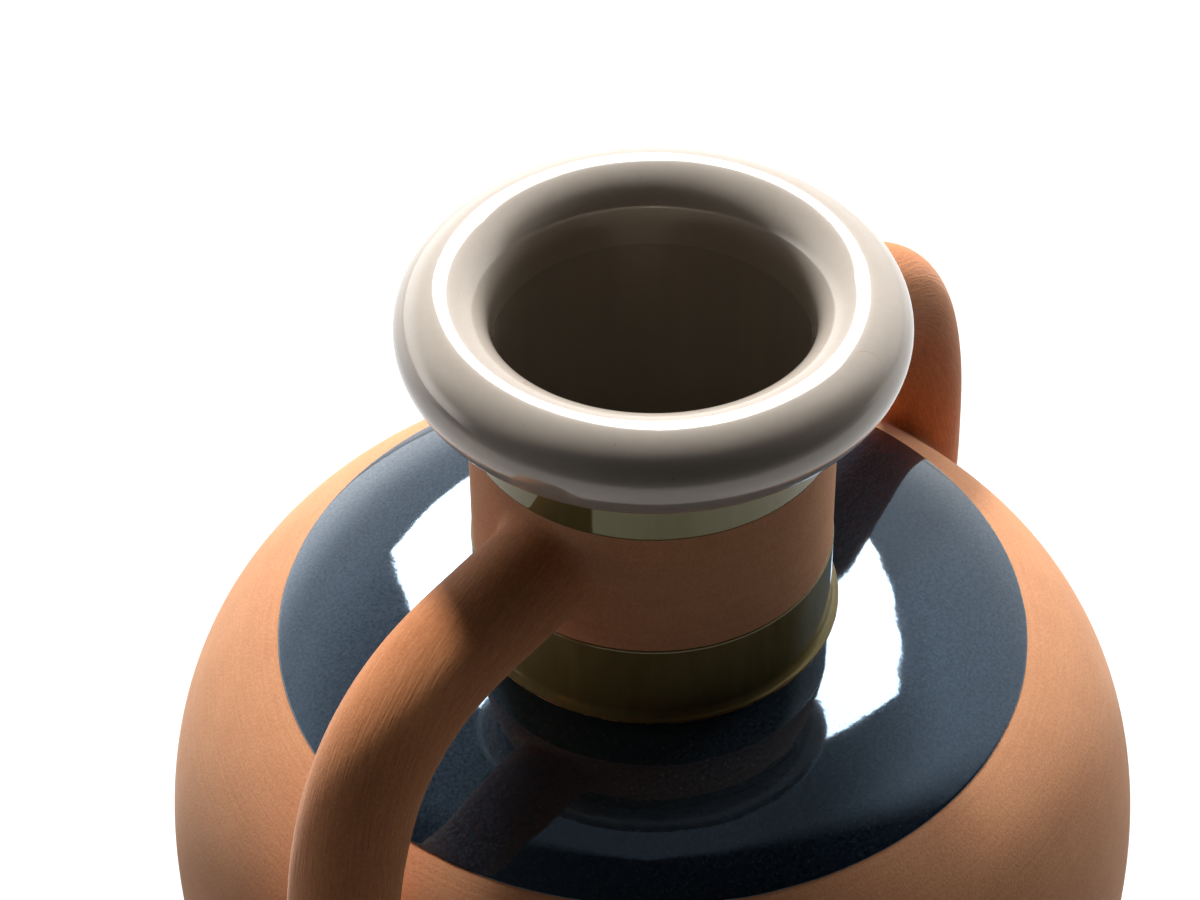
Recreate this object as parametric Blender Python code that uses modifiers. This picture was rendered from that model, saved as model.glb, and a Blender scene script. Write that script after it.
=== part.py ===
"""Two-handled terracotta vase: bare clay belly, blue glazed shoulder, banded neck and grey rolled rim.

The clay is thrown in sections that are luted together with slip: bowl, dome, neck collar and rim roll
stack on one axis, and two rolled handles bridge the neck and the belly along X.  Each glaze is a thin
coat of its own over the clay that carries it.  The origin is the centre of the foot, +Z is up.
"""
import math

import bmesh
import bpy
from mathutils import Vector

# Driving dimensions, in metres

# Belly: two thrown halves that meet at the widest circle
BODY_RADIUS = 0.150
BOWL_HEIGHT = 0.165
DOME_HEIGHT = 0.0928
WALL = 0.008
TONGUE_WIDTH = 0.0028
TONGUE_HEIGHT = 0.004

# How full the dome's curve is at its side and on top, as shares of its height and width
SIDE_FULLNESS = 0.648
TOP_FULLNESS = 0.673

# Turned foot ring under the floor
FOOT_RADIUS = 0.078
FOOT_HEIGHT = 0.006
FOOT_WIDTH = 0.010
FOOT_RECESS = 0.004
FOOT_TAPER = 0.0012
FOOT_EDGE = 0.0012

# Neck collar, with a spigot that drops into the dome
NECK_RADIUS = 0.0528
NECK_WALL = 0.0065
NECK_FILLET = 0.0027
NECK_FOOT_EDGE = 0.0006
SPIGOT_WALL = 0.0035
SHOULDER_LEDGE = 0.0068

# Rolled rim, lapped over the neck's lip
RIM_TUBE_RADIUS = 0.0125
RIM_LAP = 0.0032

# Handles: a level run from the neck, a quarter bend, and a tail that sinks into the belly
HANDLE_RADIUS = 0.01565
HANDLE_ROOT_FLARE = 0.0030
HANDLE_FLARE_LENGTH = 0.014
HANDLE_STRAIGHT = 0.0445
HANDLE_FALL = math.radians(2.5)
HANDLE_INSET = 0.0042
HANDLE_DROP = 0.0925
HANDLE_SINK = 0.009
HANDLE_TAIL = 0.004
HANDLE_FOOT_FLARE = 0.0015

# Glaze coats
GLAZE = 0.0005
BLUE_RADIUS = 0.112
LOWER_BAND = 0.0271
UPPER_BAND = 0.0219
BELT_MARGIN = 0.0027

# The film of slip between neighbouring pieces
JOINT_GAP = 0.0003

# Facets
SEGMENTS = 40
BOWL_STEPS = 9
DOME_SIDE_STEPS = 6
DOME_TOP_STEPS = 5
INNER_STEPS = 5
RIM_STEPS = 13
FILLET_STEPS = 3
HANDLE_SIDES_RESOLUTION = 5
HANDLE_RINGS = 6
QUARTER_BEND = 0.5523
CURVE_PRECISION = 1e-6
WELD = 1e-6
SCREW_MERGE = 0.0001
SMOOTH_ANGLE = math.radians(35)

# Heights and radii that follow from those
seam_height = BOWL_HEIGHT + JOINT_GAP
shoulder_height = seam_height + DOME_HEIGHT
ceiling_height = shoulder_height - WALL
neck_foot_height = shoulder_height + JOINT_GAP
neck_base_radius = NECK_RADIUS + NECK_FILLET
neck_bore_radius = NECK_RADIUS - NECK_WALL
spigot_radius = neck_bore_radius + SPIGOT_WALL
flat_radius = NECK_RADIUS + SHOULDER_LEDGE
belt_low = shoulder_height + LOWER_BAND
handle_root_radius = HANDLE_RADIUS + HANDLE_ROOT_FLARE
root_height = belt_low + BELT_MARGIN + handle_root_radius
belt_high = root_height + handle_root_radius + BELT_MARGIN
band_top = belt_high + UPPER_BAND
coat_reach = JOINT_GAP + GLAZE
roll_radius = neck_bore_radius + RIM_TUBE_RADIUS


def roll_drop(radius):
    """How far under its centre circle the roll's underside lies at this radius."""
    return math.sqrt(RIM_TUBE_RADIUS**2 - (roll_radius - radius) ** 2)


roll_height = band_top + JOINT_GAP + roll_drop(NECK_RADIUS + coat_reach)
seat_height = roll_height - roll_drop(NECK_RADIUS + JOINT_GAP) + RIM_LAP
lip_height = seat_height - JOINT_GAP


# Profile helpers: a profile is a list of (radius, height) points


def shares(start, end, steps):
    """Evenly spaced values, both ends included."""
    return [start + (end - start) * i / steps for i in range(steps + 1)]


def arc(centre, radius, start, end, steps):
    """Points along a circular arc, both ends included."""
    angles = shares(start, end, steps)
    return [(centre[0] + radius * math.cos(a), centre[1] + radius * math.sin(a)) for a in angles]


def left_of(path, distance):
    """The path moved sideways, to the left of its direction, with mitred corners."""
    points = [Vector(p) for p in path]
    runs = [(b - a).normalized() for a, b in zip(points, points[1:])]
    normals = [Vector((-run.y, run.x)) for run in runs]
    before = [normals[0]] + normals
    after = normals + [normals[-1]]
    moved = []
    for point, one, other in zip(points, before, after):
        mitre = (one + other).normalized()
        moved.append(tuple(point + mitre * distance / mitre.dot(one)))
    return moved


def coat_over(path):
    """A glaze coat on the left of a clay surface, clear of it by the joint gap."""
    return left_of(path, coat_reach) + left_of(path, JOINT_GAP)[::-1]


def bowl_side(steps):
    """The belly's lower half, from the widest circle down to the foot: part of an ellipse."""
    end = math.acos(FOOT_RADIUS / BODY_RADIUS)
    depth = (BOWL_HEIGHT - FOOT_HEIGHT) / math.sin(end)
    angles = shares(0.0, end, steps)
    return [(BODY_RADIUS * math.cos(a), BOWL_HEIGHT - depth * math.sin(a)) for a in angles]


def dome_point(t):
    """The belly's upper half, a curve from the flat shoulder at t = 0 down to the seam at t = 1."""
    width = BODY_RADIUS - flat_radius
    knots = (
        Vector((flat_radius, shoulder_height)),
        Vector((flat_radius + TOP_FULLNESS * width, shoulder_height)),
        Vector((BODY_RADIUS, seam_height + SIDE_FULLNESS * DOME_HEIGHT)),
        Vector((BODY_RADIUS, seam_height)),
    )
    s = 1 - t
    weights = (s**3, 3 * s * s * t, 3 * s * t * t, t**3)
    return tuple(sum((k * w for k, w in zip(knots, weights)), Vector((0.0, 0.0))))


def dome_share(radius):
    """Where along the dome's curve it reaches this radius."""
    low, high = 0.0, 1.0
    while high - low > CURVE_PRECISION:
        middle = (low + high) / 2
        if dome_point(middle)[0] < radius:
            low = middle
        else:
            high = middle
    return low


blue_edge = dome_share(BLUE_RADIUS)
dome_top = [dome_point(t) for t in shares(0.0, blue_edge, DOME_TOP_STEPS)]
dome_side = [dome_point(t) for t in shares(blue_edge, 1.0, DOME_SIDE_STEPS)]
dome_outer = dome_top + dome_side[1:]
bowl_outer = bowl_side(BOWL_STEPS)

inner_wall_radius = BODY_RADIUS - WALL
bowl_inner = [(inner_wall_radius, BOWL_HEIGHT)]
bowl_inner += left_of(bowl_side(INNER_STEPS), -WALL)[1:]
dome_inner = [(flat_radius, ceiling_height)]
dome_inner += left_of([dome_point(t) for t in shares(0.0, 1.0, INNER_STEPS)], -WALL)[1:-1]
dome_inner += [(inner_wall_radius, seam_height)]
floor_height = bowl_inner[-1][1]

neck_outer = [(NECK_RADIUS, lip_height)]
neck_outer += arc(
    (neck_base_radius, neck_foot_height + NECK_FOOT_EDGE + NECK_FILLET),
    NECK_FILLET,
    math.pi,
    1.5 * math.pi,
    FILLET_STEPS,
)

roll_centre = (roll_radius, roll_height)


def roll_angle(radius, tube_radius):
    """The angle round the roll's section, past its underside, where it comes down to this radius."""
    return -math.acos((radius - roll_radius) / tube_radius)


# Scene, collections and materials


for old in list(bpy.data.objects):
    bpy.data.objects.remove(old, do_unlink=True)

vase = bpy.data.collections.new("ceramic_vase")
cutters = bpy.data.collections.new("cutters")
for collection in (vase, cutters):
    bpy.context.scene.collection.children.link(collection)


def finish(name, colour, roughness, coat=0.0):
    """A ceramic surface: clay is matt, glaze has a clear coat."""
    material = bpy.data.materials.new(name)
    material.use_nodes = True
    shader = material.node_tree.nodes["Principled BSDF"]
    shader.inputs["Base Color"].default_value = (*colour, 1.0)
    shader.inputs["Roughness"].default_value = roughness
    shader.inputs["Metallic"].default_value = 0.0
    shader.inputs["Coat Weight"].default_value = coat
    material.diffuse_color = (*colour, 1.0)
    return material


terracotta = finish("terracotta", (0.52, 0.235, 0.105), 0.85)
handle_clay = finish("handle_terracotta", (0.50, 0.215, 0.095), 0.85)
blue_glaze = finish("midnight_blue_glaze", (0.018, 0.032, 0.055), 0.12, 1.0)
olive_glaze = finish("olive_glaze", (0.075, 0.070, 0.030), 0.12, 1.0)
grey_glaze = finish("stone_grey_glaze", (0.40, 0.36, 0.31), 0.15, 1.0)
liner = finish("liner_glaze", (0.30, 0.26, 0.21), 0.25, 0.6)


# Shape helpers


def settled_mesh(obj):
    """The object's evaluated mesh, welded, with smooth rounds and sharp corners."""
    graph = bpy.context.evaluated_depsgraph_get()
    mesh = bpy.data.meshes.new_from_object(obj.evaluated_get(graph))
    shape = bmesh.new()
    shape.from_mesh(mesh)
    bmesh.ops.remove_doubles(shape, verts=shape.verts, dist=WELD)
    bmesh.ops.recalc_face_normals(shape, faces=shape.faces)
    shape.to_mesh(mesh)
    shape.free()
    mesh.shade_smooth()
    mesh.set_sharp_from_angle(angle=SMOOTH_ANGLE)
    return mesh


def place(name, mesh, material, collection=vase):
    """A named object in its collection, with its own material."""
    mesh.name = name
    mesh.materials.clear()
    if material:
        mesh.materials.append(material)
    obj = bpy.data.objects.new(name, mesh)
    collection.objects.link(obj)
    return obj


def turned(name, profile, material, closed=True, collection=vase):
    """A profile turned round the pot's axis.  It runs down its outer side."""
    mesh = bpy.data.meshes.new(name + "_profile")
    count = len(profile)
    edges = [(i, i + 1) for i in range(count - 1)]
    if closed:
        edges.append((count - 1, 0))
    mesh.from_pydata([(r, 0.0, z) for r, z in profile], edges, [])
    wheel = bpy.data.objects.new(name + "_wheel", mesh)
    cutters.objects.link(wheel)
    screw = wheel.modifiers.new("turn", "SCREW")
    screw.axis = "Z"
    screw.angle = 2 * math.pi
    screw.steps = SEGMENTS
    screw.render_steps = SEGMENTS
    screw.use_merge_vertices = True
    screw.merge_threshold = SCREW_MERGE
    obj = place(name, settled_mesh(wheel), material, collection)
    bpy.data.objects.remove(wheel, do_unlink=True)
    bpy.data.meshes.remove(mesh)
    return obj


# Lower bowl: floor, wall and a tongue on its lip that keys it to the dome

tongue_inside = BODY_RADIUS - WALL / 2 - TONGUE_WIDTH / 2
tongue_outside = tongue_inside + TONGUE_WIDTH
tongue_top = BOWL_HEIGHT + TONGUE_HEIGHT
lip_with_tongue = [
    (tongue_inside, BOWL_HEIGHT),
    (tongue_inside, tongue_top),
    (tongue_outside, tongue_top),
    (tongue_outside, BOWL_HEIGHT),
]
foot_inside = FOOT_RADIUS - FOOT_WIDTH
foot = [
    (FOOT_RADIUS - FOOT_TAPER, FOOT_EDGE),
    (FOOT_RADIUS - FOOT_TAPER - FOOT_EDGE, 0.0),
    (foot_inside, 0.0),
    (foot_inside - FOOT_TAPER, FOOT_RECESS),
    (0.0, FOOT_RECESS),
]
bowl_profile = [(0.0, floor_height)] + bowl_inner[::-1] + lip_with_tongue + bowl_outer + foot
turned("lower_bowl", bowl_profile, terracotta, closed=False)

# Shoulder dome: the groove in its lip takes the bowl's tongue, its opening takes the neck's spigot

groove = [
    (tongue_outside + JOINT_GAP, seam_height),
    (tongue_outside + JOINT_GAP, tongue_top + JOINT_GAP),
    (tongue_inside - JOINT_GAP, tongue_top + JOINT_GAP),
    (tongue_inside - JOINT_GAP, seam_height),
]
opening_radius = spigot_radius + JOINT_GAP
dome_profile = [(opening_radius, shoulder_height)] + dome_outer + groove + dome_inner[::-1]
turned("shoulder_dome", dome_profile + [(opening_radius, ceiling_height)], terracotta)

# Neck collar

neck_profile = neck_outer + [
    (neck_base_radius, neck_foot_height),
    (spigot_radius, neck_foot_height),
    (spigot_radius, ceiling_height),
    (neck_bore_radius, ceiling_height),
    (neck_bore_radius, lip_height),
]
turned("neck_collar", neck_profile, terracotta)

# Rim roll: a ring with a rebate underneath that laps over the neck's lip

roll_outer = arc(
    roll_centre, RIM_TUBE_RADIUS, math.pi, roll_angle(NECK_RADIUS + JOINT_GAP, RIM_TUBE_RADIUS), RIM_STEPS
)
rebate = [(NECK_RADIUS + JOINT_GAP, seat_height), (neck_bore_radius, seat_height)]
turned("rim_roll", roll_outer + rebate, terracotta)

# Handles: a bent rod whose root and foot are cut to the neck and the belly

neck_side = [(NECK_RADIUS, roll_height), (NECK_RADIUS, shoulder_height)]
seat_outline = left_of(neck_side + dome_outer + bowl_outer, JOINT_GAP)
seat_profile = [(0.0, roll_height)] + seat_outline + [(0.0, seat_outline[-1][1])]
seat_cutter = turned("handle_seat_cutter", seat_profile, None, closed=False, collection=cutters)
seat_cutter.hide_render = True
seat_cutter.display_type = "WIRE"


def handle_knots(side):
    """The rod's Bezier knots as (point, tangent before, tangent after, radius), from neck to belly."""
    fall = Vector((math.cos(HANDLE_FALL), 0.0, -math.sin(HANDLE_FALL)))
    face = Vector((NECK_RADIUS, 0.0, root_height))
    start = face - fall * NECK_WALL
    clear = face + fall * HANDLE_FLARE_LENGTH
    bend = face + fall * HANDLE_STRAIGHT
    outermost = Vector((BODY_RADIUS - HANDLE_INSET, 0.0, bend.z - HANDLE_DROP))
    tail = Vector((BODY_RADIUS - HANDLE_RADIUS - HANDLE_SINK, 0.0, BOWL_HEIGHT - HANDLE_TAIL))
    lean = 2 * math.atan2(outermost.x - tail.x, outermost.z - tail.z)
    bend_reach = QUARTER_BEND * (outermost.x - bend.x)
    bend_drop = QUARTER_BEND * (outermost.z - bend.z)
    tail_length = (outermost - tail).length / 3
    down = Vector((0.0, 0.0, -1.0))
    inward = Vector((-math.sin(lean), 0.0, -math.cos(lean)))
    step = (face - start) / 3
    flare = (clear - face) / 3
    level = (bend - clear) / 3
    knots = [
        (start, -step, step, handle_root_radius),
        (face, -step, flare, handle_root_radius),
        (clear, -flare, level, HANDLE_RADIUS),
        (bend, -level, fall * bend_reach, HANDLE_RADIUS),
        (outermost, Vector((0.0, 0.0, -bend_drop)), down * tail_length, HANDLE_RADIUS),
        (tail, -inward * tail_length, inward * tail_length, HANDLE_RADIUS + HANDLE_FOOT_FLARE),
    ]
    turn = Vector((side, 1.0, 1.0))
    return [(p * turn, b * turn, a * turn, radius) for p, b, a, radius in knots]


def handle(name, side):
    """One handle, on the +X side or the -X side."""
    curve = bpy.data.curves.new(name + "_rod", "CURVE")
    curve.dimensions = "3D"
    curve.bevel_depth = HANDLE_RADIUS
    curve.bevel_resolution = HANDLE_SIDES_RESOLUTION
    curve.resolution_u = HANDLE_RINGS
    curve.use_fill_caps = True
    spline = curve.splines.new("BEZIER")
    spline.radius_interpolation = "EASE"
    knots = handle_knots(side)
    spline.bezier_points.add(len(knots) - 1)
    for knot, (point, before, after, radius) in zip(spline.bezier_points, knots):
        knot.handle_left_type = "FREE"
        knot.handle_right_type = "FREE"
        knot.co = point
        knot.handle_left = point + before
        knot.handle_right = point + after
        knot.radius = radius / HANDLE_RADIUS
    rod = bpy.data.objects.new(name + "_rod", curve)
    cutters.objects.link(rod)
    blank = place(name + "_blank", settled_mesh(rod), None, cutters)
    blank.matrix_world = rod.matrix_world.copy()
    bpy.data.objects.remove(rod, do_unlink=True)
    cut = blank.modifiers.new("seat", "BOOLEAN")
    cut.operation = "DIFFERENCE"
    cut.solver = "EXACT"
    cut.object = seat_cutter
    obj = place(name, settled_mesh(blank), handle_clay)
    bpy.data.objects.remove(blank, do_unlink=True)
    return obj


handle("handle_left", -1.0)
handle("handle_right", 1.0)

# Shoulder glaze: from the neck's foot out to its own sharp circle

shoulder_path = [(neck_base_radius + JOINT_GAP, shoulder_height)] + dome_top
turned("shoulder_glaze", coat_over(shoulder_path), blue_glaze)

# Neck bands: one from the bare belt down over the neck's fillet, one from the roll down to the belt

turned("lower_neck_glaze", coat_over([(NECK_RADIUS, belt_low)] + neck_outer[1:]), olive_glaze)
turned("upper_neck_glaze", coat_over([(NECK_RADIUS, band_top), (NECK_RADIUS, belt_high)]), olive_glaze)

# Rim glaze: up the inside of the roll, over the top and round to the band underneath

rim_end = roll_angle(NECK_RADIUS + coat_reach + JOINT_GAP, RIM_TUBE_RADIUS + coat_reach)
rim_path = [(neck_bore_radius, seat_height)] + arc(roll_centre, RIM_TUBE_RADIUS, math.pi, rim_end, RIM_STEPS)
turned("rim_glaze", coat_over(rim_path), grey_glaze)

# Liner: the coat that makes the clay hold water, over floor, wall, ceiling and throat

liner_path = [(0.0, floor_height)] + bowl_inner[::-1] + dome_inner[::-1]
liner_path += [(neck_bore_radius, ceiling_height), (neck_bore_radius, lip_height)]
turned("liner_glaze", coat_over(liner_path), liner, closed=False)
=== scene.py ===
"""Looks of the two-handled terracotta vase: bare fired clay, luted handles and poured glazes."""
import math

import bmesh
import bpy
from mathutils import Euler, Matrix, Vector, noise


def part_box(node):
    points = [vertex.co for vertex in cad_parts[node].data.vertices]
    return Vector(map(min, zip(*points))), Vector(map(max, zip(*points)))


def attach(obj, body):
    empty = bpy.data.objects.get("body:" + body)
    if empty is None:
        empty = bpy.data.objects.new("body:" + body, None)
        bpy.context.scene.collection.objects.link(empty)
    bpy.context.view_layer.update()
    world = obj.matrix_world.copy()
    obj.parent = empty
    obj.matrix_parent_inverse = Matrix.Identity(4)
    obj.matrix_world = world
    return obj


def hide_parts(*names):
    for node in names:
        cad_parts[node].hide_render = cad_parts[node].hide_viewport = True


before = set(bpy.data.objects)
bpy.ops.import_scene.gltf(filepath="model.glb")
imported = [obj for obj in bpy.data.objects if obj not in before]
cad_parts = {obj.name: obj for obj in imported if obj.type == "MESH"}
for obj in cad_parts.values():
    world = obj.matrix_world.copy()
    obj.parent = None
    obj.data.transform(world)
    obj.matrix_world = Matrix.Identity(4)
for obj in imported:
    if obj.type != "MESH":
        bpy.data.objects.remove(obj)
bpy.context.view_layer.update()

# Lower bowl
# The lower half of the belly, thrown from smooth terracotta and left bare outside.  Its underside is
# trimmed to a foot ring, and its lip is luted to the dome so that no more than a hairline shows.

TURN_SIDES = 256
ON_AXIS = 1e-7
SHARP_FROM = math.radians(40)
CORNER_STEPS = 5
SIDE_STEPS = 72
WALL = 0.008
FOOT_RADIUS = 0.078
FOOT_HEIGHT = 0.006
FOOT_WIDTH = 0.010
FOOT_RECESS = 0.004
FOOT_TAPER = 0.0012
FOOT_SOFTNESS = 0.0016
SEAM_SOFTNESS = 0.00012

body_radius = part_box("lower_bowl")[1].x
seam_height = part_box("shoulder_dome")[0].z
bowl_end = math.acos(FOOT_RADIUS / body_radius)
bowl_depth = (seam_height - FOOT_HEIGHT) / math.sin(bowl_end)


def shares(start, end, steps):
    """Evenly spaced values, both ends included."""
    return [start + (end - start) * i / steps for i in range(steps + 1)]


def softened(corners):
    """An outline of (radius, height, softness) corners, each rounded off as a wet sponge leaves it."""
    points = []
    for i, (radius, height, softness) in enumerate(corners):
        here = Vector((radius, height))
        if not softness:
            points.append((radius, height))
            continue
        before = (Vector(corners[i - 1][:2]) - here).normalized() * softness
        after = (Vector(corners[(i + 1) % len(corners)][:2]) - here).normalized() * softness
        for t in shares(0.0, 1.0, CORNER_STEPS):
            points.append(tuple(here + before * (1 - t) ** 2 + after * t**2))
    return points


def settled(name, shape):
    """An object made of a finished bmesh, smooth on its rounds and sharp on its corners."""
    bmesh.ops.recalc_face_normals(shape, faces=shape.faces)
    mesh = bpy.data.meshes.new(name)
    shape.to_mesh(mesh)
    shape.free()
    mesh.shade_smooth()
    mesh.set_sharp_from_angle(angle=SHARP_FROM)
    piece = bpy.data.objects.new(name, mesh)
    bpy.context.scene.collection.objects.link(piece)
    return piece


def thrown(name, outline_at):
    """A closed outline of (radius, height) points turned round the axis; it may change with the angle."""
    shape = bmesh.new()
    spokes = []
    for k in range(TURN_SIDES):
        angle = 2 * math.pi * k / TURN_SIDES
        across = Vector((math.cos(angle), math.sin(angle), 0.0))
        spokes.append([across * r + Vector((0.0, 0.0, z)) for r, z in outline_at(angle)])
    rings = []
    for points in zip(*spokes):
        on_axis = points[0].xy.length < ON_AXIS
        rings.append([shape.verts.new(p) for p in (points[:1] if on_axis else points)])
    for ring, following in zip(rings, rings[1:] + rings[:1]):
        for k in range(TURN_SIDES):
            corners = [ring[k % len(ring)], following[k % len(following)]]
            corners += [following[(k + 1) % len(following)], ring[(k + 1) % len(ring)]]
            corners = list(dict.fromkeys(corners))
            if len(corners) > 2:
                shape.faces.new(corners)
    return settled(name, shape)


class Wire:
    """A shader socket that takes part in Python sums; each sum adds its Math node."""

    def __init__(self, tree, socket=None):
        self.tree = tree
        self.socket = socket

    def node(self, kind, settings, sockets, out=0):
        """A new node of this kind: its settings first, then values or links for its sockets."""
        made = self.tree.nodes.new(kind)
        for key, value in settings.items():
            setattr(made, key, value)
        for key, value in sockets.items():
            if isinstance(value, Wire):
                self.tree.links.new(value.socket, made.inputs[key])
            else:
                made.inputs[key].default_value = value
        return Wire(self.tree, made.outputs[out]) if made.outputs else made

    def maths(self, operation, first, second):
        """A Math node on two values."""
        return self.node("ShaderNodeMath", {"operation": operation}, {0: first, 1: second})

    def __add__(self, other):
        return self.maths("ADD", self, other)

    __radd__ = __add__

    def __sub__(self, other):
        return self.maths("SUBTRACT", self, other)

    def __rsub__(self, other):
        return self.maths("SUBTRACT", other, self)

    def __mul__(self, other):
        return self.maths("MULTIPLY", self, other)

    __rmul__ = __mul__

    def ease(self, low, high):
        """0 under the low value, 1 over the high one, and a smooth rise between."""
        limits = {"Value": self, "From Min": low, "From Max": high}
        return self.node("ShaderNodeMapRange", {"interpolation_type": "SMOOTHSTEP"}, limits)

    def times(self, scales):
        """A vector stretched along each axis."""
        return self.node("ShaderNodeVectorMath", {"operation": "MULTIPLY"}, {0: self, 1: scales})

    def cloud(self, per_metre, detail=2.0):
        """Soft noise on this vector, from about -1 to 1."""
        sockets = {"Vector": self, "Scale": per_metre, "Detail": detail}
        return self.node("ShaderNodeTexNoise", {}, sockets) * 2.0 - 1.0

    def blend(self, first, second):
        """A colour between two others, at this share."""
        settings = {"data_type": "RGBA", "clamp_factor": True}
        return self.node("ShaderNodeMix", settings, {0: self, 6: first, 7: second}, 2)


def opaque(colour):
    """A linear colour as a four-part socket value."""
    return (*colour, 1.0)


def finish(name):
    """A new material, with its shader and a loose wire to build on."""
    material = bpy.data.materials.new(name)
    material.use_nodes = True
    shader = material.node_tree.nodes["Principled BSDF"]
    return material, shader, Wire(material.node_tree)


def feed(shader, socket, wire):
    """Links a wire to one of the shader's sockets."""
    wire.tree.links.new(wire.socket, shader.inputs[socket])


def pressed(wire, height_mm):
    """A bump whose height is in millimetres of real relief."""
    return wire.node("ShaderNodeBump", {}, {"Strength": 1.0, "Distance": 0.001, "Height": height_mm})


def turned_place(wire):
    """The surface's place, and that place unrolled to distance from the axis and height."""
    place = wire.node("ShaderNodeTexCoord", {}, {}, "Object")
    settings = {"operation": "LENGTH"}
    reach = wire.node("ShaderNodeVectorMath", settings, {0: place.times((1.0, 1.0, 0.0))}, "Value")
    height = wire.node("ShaderNodeSeparateXYZ", {}, {0: place}, "Z")
    return place, reach, height


def specks(place, per_metre, share, size):
    """Grains of sand: 1 on a scattered share of small round spots."""
    settings = {"feature": "F1"}
    sockets = {"Vector": place, "Scale": per_metre}
    cells = place.node("ShaderNodeTexVoronoi", settings, sockets, "Distance")
    lot = place.node("ShaderNodeTexVoronoi", settings, sockets, "Color")
    lot = place.node("ShaderNodeSeparateColor", {}, {0: lot}, "Red")
    return (1.0 - cells.ease(size * 0.5, size)) * (1.0 - lot.ease(share * 0.9, share))


BODY_TONES = ((0.565, 0.247, 0.112), (0.685, 0.326, 0.160), (0.775, 0.404, 0.212))
BODY_SHEEN = 0.08
PALE_SAND = (0.87, 0.43, 0.21)
SAND_PER_METRE = 900.0
SAND_SHARE = 0.20
SAND_SIZE = 0.30
KILN_PER_METRE = 13.0
PATCHES_PER_METRE = 75.0
GRAIN_PER_METRE = 1300.0
RINGS_PER_METRE = 900.0
GRAIN_MM = 0.030
TOOL_LINES_MM = 0.085
PATCHES_MM = 0.03
DUSTY_SHEEN = (1.0, 0.93, 0.86)


def clay(name, tones, sheen, lines):
    """Bare fired terracotta: clouded colour, sandy grain and the fine lines that the tool leaves.

    tones takes the wire and returns the deep, middle and pale colour.
    lines takes the wire and returns the tool lines, from about -1 to 1.
    """
    material, shader, wire = finish(name)
    place = wire.node("ShaderNodeTexCoord", {}, {}, "Object")
    fired = place.cloud(KILN_PER_METRE, 3.0)
    patches = place.cloud(PATCHES_PER_METRE, 3.0)
    grain = place.cloud(GRAIN_PER_METRE)
    drawn = lines(wire)
    deep, middle, pale = tones(wire)
    pale_sand = specks(place, SAND_PER_METRE, SAND_SHARE, SAND_SIZE)
    tone = 0.5 + fired * 0.30 + patches * 0.20 + grain * 0.58 + drawn * 0.55
    colour = (tone * 2.0).blend(deep, middle)
    colour = (tone * 2.0 - 1.0).blend(colour, pale)
    colour = (pale_sand * 0.25).blend(colour, opaque(PALE_SAND))
    feed(shader, "Base Color", colour)
    feed(shader, "Roughness", 0.82 + grain * 0.08)
    relief = grain * GRAIN_MM + drawn * TOOL_LINES_MM + patches * PATCHES_MM
    feed(shader, "Normal", pressed(wire, relief))
    shader.inputs["IOR"].default_value = 1.45
    shader.inputs["Specular IOR Level"].default_value = 0.35
    shader.inputs["Diffuse Roughness"].default_value = 0.7
    shader.inputs["Sheen Weight"].default_value = sheen
    shader.inputs["Sheen Roughness"].default_value = 0.45
    shader.inputs["Sheen Tint"].default_value = opaque(DUSTY_SHEEN)
    return material


def wheel_lines(wire):
    """Rings round the pot, left by the rib and the trimming tool."""
    place, reach, height = turned_place(wire)
    sockets = {"X": reach, "Z": height}
    unrolled = wire.node("ShaderNodeCombineXYZ", {}, sockets)
    broken = place.cloud(30.0) * 0.5 + 0.5
    return unrolled.cloud(RINGS_PER_METRE, 3.0) * (0.2 + broken * 0.4)


def body_tones(wire):
    """The pot's own three colours."""
    return [opaque(tone) for tone in BODY_TONES]


body_clay = clay("terracotta", body_tones, BODY_SHEEN, wheel_lines)


def bowl_side():
    """The belly's lower half, from the widest circle down to the foot: part of an ellipse."""
    angles = shares(0.0, bowl_end, SIDE_STEPS)
    return [(body_radius * math.cos(a), seam_height - bowl_depth * math.sin(a)) for a in angles]


def inward(path, distance):
    """The path moved to the right of its direction, which for a path down the outside is into the wall."""
    points = [Vector(p) for p in path]
    moved = []
    for i, point in enumerate(points):
        run = (points[min(i + 1, len(points) - 1)] - points[max(i - 1, 0)]).normalized()
        moved.append(tuple(point + Vector((run.y, -run.x)) * distance))
    return moved


bowl_outer = bowl_side()
bowl_inner = inward(bowl_outer, WALL)
floor_height = bowl_inner[-1][1]
foot_outline = softened(
    [
        (*bowl_outer[-1], 0.0),
        (FOOT_RADIUS - FOOT_TAPER, 0.0, FOOT_SOFTNESS),
        (FOOT_RADIUS - FOOT_WIDTH, 0.0, FOOT_SOFTNESS),
        (FOOT_RADIUS - FOOT_WIDTH - FOOT_TAPER, FOOT_RECESS, FOOT_SOFTNESS),
        (0.0, FOOT_RECESS, 0.0),
    ]
)
seam_edge = [(body_radius - SEAM_SOFTNESS, seam_height), (body_radius, seam_height - SEAM_SOFTNESS)]
bowl_outline = [(0.0, floor_height)] + bowl_inner[::-1] + seam_edge + bowl_outer[1:] + foot_outline[1:]
bowl = thrown("bowl_clay", lambda angle: bowl_outline)
bowl.data.materials.append(body_clay)
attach(bowl, "root")
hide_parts("lower_bowl")

# Shoulder dome
# The upper half of the belly, thrown upside down and set on the bowl while both are leather hard.
# Its flat top carries the neck and the blue glaze; the flank below the glaze stays bare.

SIDE_FULLNESS = 0.648
TOP_FULLNESS = 0.673
SHOULDER_LEDGE = 0.0068
BAND_REACH = 0.0008
CURVE_PRECISION = 1e-7

shoulder_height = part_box("shoulder_dome")[1].z
neck_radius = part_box("upper_neck_glaze")[1].x - BAND_REACH
neck_base_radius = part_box("neck_collar")[1].x
flat_radius = neck_radius + SHOULDER_LEDGE
ceiling_height = shoulder_height - WALL


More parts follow.
